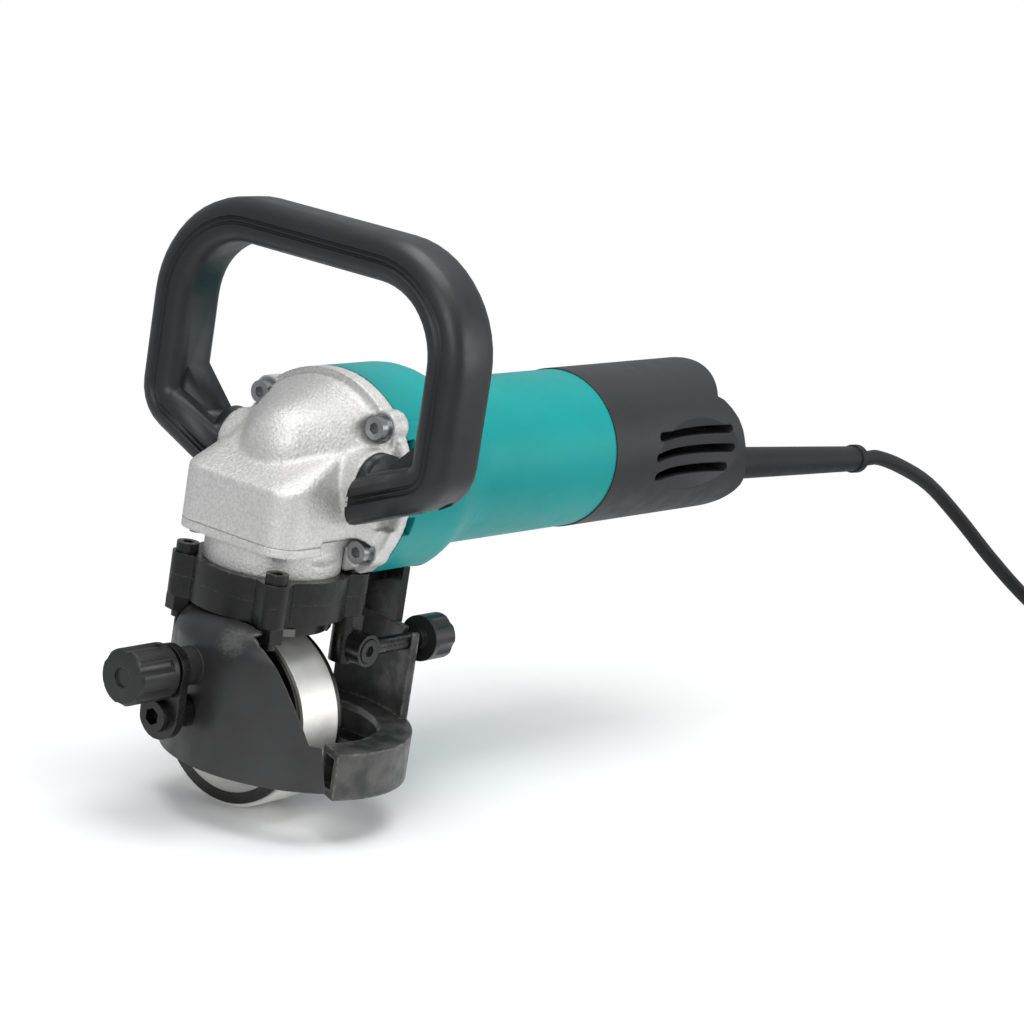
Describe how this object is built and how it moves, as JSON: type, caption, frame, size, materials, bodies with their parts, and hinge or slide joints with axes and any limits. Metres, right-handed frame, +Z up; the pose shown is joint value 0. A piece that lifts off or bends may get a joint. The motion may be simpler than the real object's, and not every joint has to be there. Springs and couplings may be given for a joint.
{
  "type": "pipe bevelling machine",
  "caption": "Hand-held pipe bevelling machine: angle-drive motor with bow handle, upright spindle with bevel cutter, sheet hood, guide shoe, guide roller and mains cord.",
  "frame": {"origin": "on the spindle axis, level with the guide roller's lowest line", "axes": "+Z up the spindle axis, +X along the motor towards the cord, -Y the near side"},
  "size_m": [0.8041, 0.2269, 0.2339],
  "materials": {
    "cast_aluminium": "sand-cast, bead blasted",
    "motor_teal": "satin moulded",
    "dark_housing": "satin moulded",
    "handle_black": "satin moulded",
    "black_oxide": "black oxide steel",
    "painted_sheet": "satin black paint on steel sheet",
    "bare_steel": "ground steel",
    "polished_tread": "polished",
    "zinc_screws": "zinc plated",
    "winding_copper": "enamelled copper",
    "brass_parts": "brass",
    "carbon": "carbon",
    "fan_plastic": "moulded",
    "knob_plastic": "moulded",
    "cord_rubber": "rubber",
    "carbide": "sintered carbide"
  },
  "bodies": {
    "machine": {"gear_case": "cast_aluminium", "bearing_neck": "cast_aluminium", "neck_screws": "zinc_screws", "flange_screws": "zinc_screws", "spindle_bearings": "bare_steel", "armature_bearings": "bare_steel", "clamp_ring_upper": "black_oxide", "clamp_ring_lower": "black_oxide", "ring_bolts": "black_oxide", "ring_nuts": "black_oxide", "swing_post": "black_oxide", "hood": "painted_sheet", "guide_shoe": "painted_sheet", "shoe_screws": "black_oxide", "lock_stud": "bare_steel", "link_plate": "black_oxide", "pivot_screw": "black_oxide", "motor_housing": "motor_teal", "stator": "bare_steel", "field_coils": "winding_copper", "brush_holders": "brass_parts", "carbon_brushes": "carbon", "rear_housing": "dark_housing", "switch_block": "fan_plastic", "bow_handle": "handle_black", "handle_screws": "zinc_screws", "strain_relief": "cord_rubber", "cord": "cord_rubber", "cord_coil": "cord_rubber", "cord_tie": "cord_rubber", "plug_body": "cord_rubber", "plug_pins": "brass_parts"},
    "armature": {"armature_shaft": "bare_steel", "drive_pinion": "bare_steel", "cooling_fan": "fan_plastic", "rotor_core": "bare_steel", "rotor_windings": "winding_copper", "commutator": "winding_copper"},
    "spindle": {"spindle": "bare_steel", "bevel_gear": "bare_steel", "bevel_cutter": "bare_steel", "cutter_inserts": "carbide", "cutter_screw": "black_oxide"},
    "axle": {"eccentric_axle": "black_oxide", "axle_retainer": "zinc_screws"},
    "roller": {"roller_core": "black_oxide", "roller_tread": "polished_tread", "roller_face": "bare_steel", "roller_bearings": "bare_steel"},
    "lock_knob": {"lock_knob": "knob_plastic"},
    "swing_bolt": {"swing_bolt": "black_oxide"},
    "clamp_knob": {"clamp_knob": "knob_plastic"},
    "slide_switch": {"slide_switch": "knob_plastic"}
  },
  "joints": [
    {"name": "armature_spin", "type": "hinge", "parent": "machine", "child": "armature", "pos_m": [0.1, 0, 0.1305], "axis": [1, 0, 0], "continuous": true},
    {"name": "spindle_spin", "type": "hinge", "parent": "machine", "child": "spindle", "pos_m": [0, 0, 0.1], "axis": [0, 0, 1], "continuous": true},
    {"name": "axle_turn", "type": "hinge", "parent": "machine", "child": "axle", "pos_m": [-0.02, 0, 0.0425], "axis": [1, 0, 0], "range_deg": [-40, 40]},
    {"name": "roller_spin", "type": "hinge", "parent": "axle", "child": "roller", "pos_m": [0.01, 0, 0.0365], "axis": [1, 0, 0], "continuous": true},
    {"name": "lock_knob_turn", "type": "hinge", "parent": "machine", "child": "lock_knob", "pos_m": [-0.06, 0, 0.0605], "axis": [1, 0, 0], "range_deg": [-180, 180]},
    {"name": "swing_bolt_swing", "type": "hinge", "parent": "machine", "child": "swing_bolt", "pos_m": [0.02334, -0.03223, 0.0685], "axis": [0, -1, 0], "range_deg": [0, 16]},
    {"name": "clamp_knob_turn", "type": "hinge", "parent": "swing_bolt", "child": "clamp_knob", "pos_m": [0.05637, -0.03223, 0.0685], "axis": [1, 0, 0], "range_deg": [-180, 180]},
    {"name": "slide_switch_slide", "type": "slide", "parent": "machine", "child": "slide_switch", "axis": [-1, 0, 0], "range_m": [0, 0.006]}
  ],
  "couplings": [
    {"joint": "spindle_spin", "follows": "armature_spin", "ratio": 0.3}
  ]
}
